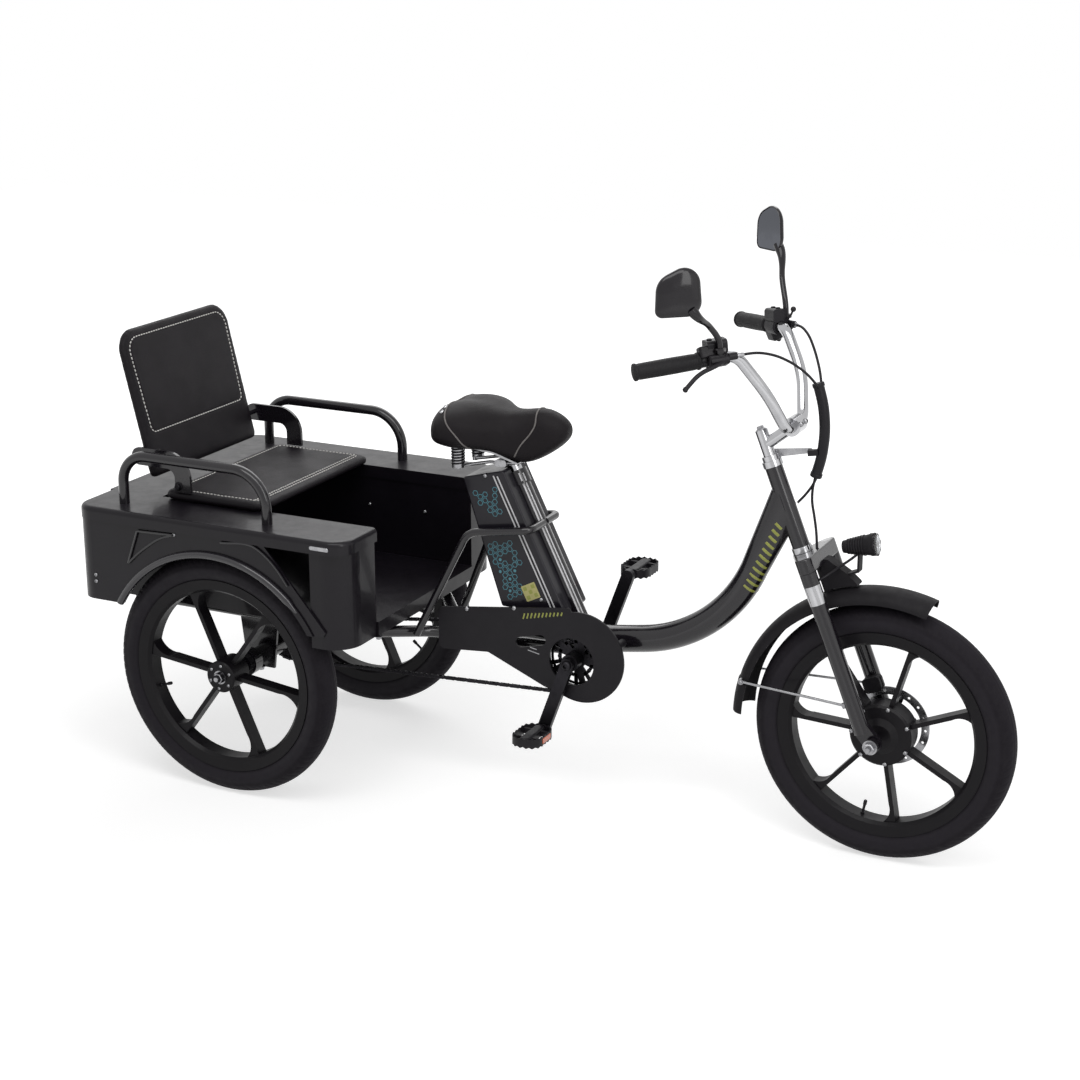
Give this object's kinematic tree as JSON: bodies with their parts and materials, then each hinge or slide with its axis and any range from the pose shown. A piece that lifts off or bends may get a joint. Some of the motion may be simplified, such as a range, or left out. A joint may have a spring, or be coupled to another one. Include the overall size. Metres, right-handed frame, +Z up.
{
  "type": "electric cargo tricycle",
  "caption": "Step-through electric tricycle with a low rear box, a padded passenger bench with folding backrest, spoked cast wheels and a sprung front fork.",
  "frame": {"origin": "on the floor under the middle of the length, on the middle plane", "axes": "+X the way it drives, +Y to its left, +Z up"},
  "size_m": [1.937, 0.668, 1.222],
  "materials": {
    "frame_paint": "satin black paint",
    "panel_paint": "black paint on sheet metal",
    "black_plastic": "moulded black plastic",
    "gloss_black": "gloss black plastic",
    "battery_shell": "black anodised case",
    "tyre_rubber": "worn-in black rubber",
    "grip_rubber": "ribbed rubber",
    "wheel_alloy": "black cast alloy",
    "chrome": "polished chrome",
    "bright_steel": "zinc plated steel",
    "dark_steel": "dark steel",
    "leather": "black grained leather",
    "seat_vinyl": "black vinyl cover",
    "stitch_thread": "white thread",
    "decal_print": "printed film, teal and pale yellow",
    "stripe_white": "thin pale stripe",
    "red_lens": "red lens",
    "amber_lens": "amber reflector",
    "lamp_glass": "clear lens",
    "mirror_glass": "mirror glass"
  },
  "bodies": {
    "frame": {"armrests": "frame_paint", "backrest_brackets": "frame_paint", "battery_case": "battery_shell", "box_floor": "panel_paint", "box_walls": "panel_paint", "brace_tubes": "frame_paint", "chain": "dark_steel", "chain_guard": "black_plastic", "decks": "panel_paint", "down_tube": "frame_paint", "headset": "chrome", "lower_rails": "frame_paint", "rear_axle": "frame_paint", "rear_lamps": "red_lens", "rear_panel": "panel_paint", "saddle": "leather", "saddle_frame": "dark_steel", "seat_cushion": "seat_vinyl", "seat_post": "chrome", "seat_tube": "frame_paint", "side_panel_left": "panel_paint", "side_panel_right": "panel_paint"},
    "steering": {"fork_crown": "frame_paint", "stanchions": "chrome", "fork_legs": "frame_paint", "front_fender": "frame_paint", "fender_stays": "bright_steel", "brake_calliper": "bright_steel", "stem": "chrome", "handlebar": "chrome", "grips": "grip_rubber", "bar_controls": "black_plastic", "mirrors": "black_plastic", "headlight": "black_plastic", "cable_sheath": "black_plastic", "control_cables": "black_plastic"},
    "front_wheel": {"front_tyre": "tyre_rubber", "front_rim": "wheel_alloy", "brake_disc": "bright_steel"},
    "rear_wheel_left": {"rear_tyre_left": "tyre_rubber", "rear_rim_left": "wheel_alloy", "axle_shaft_left": "dark_steel"},
    "rear_wheel_right": {"rear_tyre_right": "tyre_rubber", "rear_rim_right": "wheel_alloy", "axle_shaft_right": "dark_steel"},
    "crankset": {"crankset": "dark_steel"},
    "pedal_left": {"pedal_left": "black_plastic"},
    "pedal_right": {"pedal_right": "black_plastic"},
    "backrest": {"backrest": "seat_vinyl"}
  },
  "joints": [
    {"name": "steering_turn", "type": "hinge", "parent": "frame", "child": "steering", "pos_m": [0.52934, 0, 0.61269], "axis": [-0.373, 0, 0.9278], "range_deg": [-40, 40]},
    {"name": "front_wheel_spin", "type": "hinge", "parent": "steering", "child": "front_wheel", "pos_m": [0.711, 0, 0.26], "axis": [0, 1, 0], "continuous": true},
    {"name": "rear_wheel_left_spin", "type": "hinge", "parent": "frame", "child": "rear_wheel_left", "pos_m": [-0.614, 0.287, 0.26], "axis": [0, 1, 0], "continuous": true},
    {"name": "rear_wheel_right_spin", "type": "hinge", "parent": "frame", "child": "rear_wheel_right", "pos_m": [-0.614, -0.287, 0.26], "axis": [0, 1, 0], "continuous": true},
    {"name": "crank_spin", "type": "hinge", "parent": "frame", "child": "crankset", "pos_m": [0.076, 0, 0.325], "axis": [0, 1, 0], "continuous": true},
    {"name": "pedal_left_spin", "type": "hinge", "parent": "crankset", "child": "pedal_left", "pos_m": [0.12799, 0.092, 0.46783], "axis": [0, 1, 0], "continuous": true},
    {"name": "pedal_right_spin", "type": "hinge", "parent": "crankset", "child": "pedal_right", "pos_m": [0.02401, -0.092, 0.18217], "axis": [0, 1, 0], "continuous": true},
    {"name": "backrest_fold", "type": "hinge", "parent": "frame", "child": "backrest", "pos_m": [-0.861, 0, 0.682], "axis": [0, 1, 0], "range_deg": [0, 100]}
  ]
}
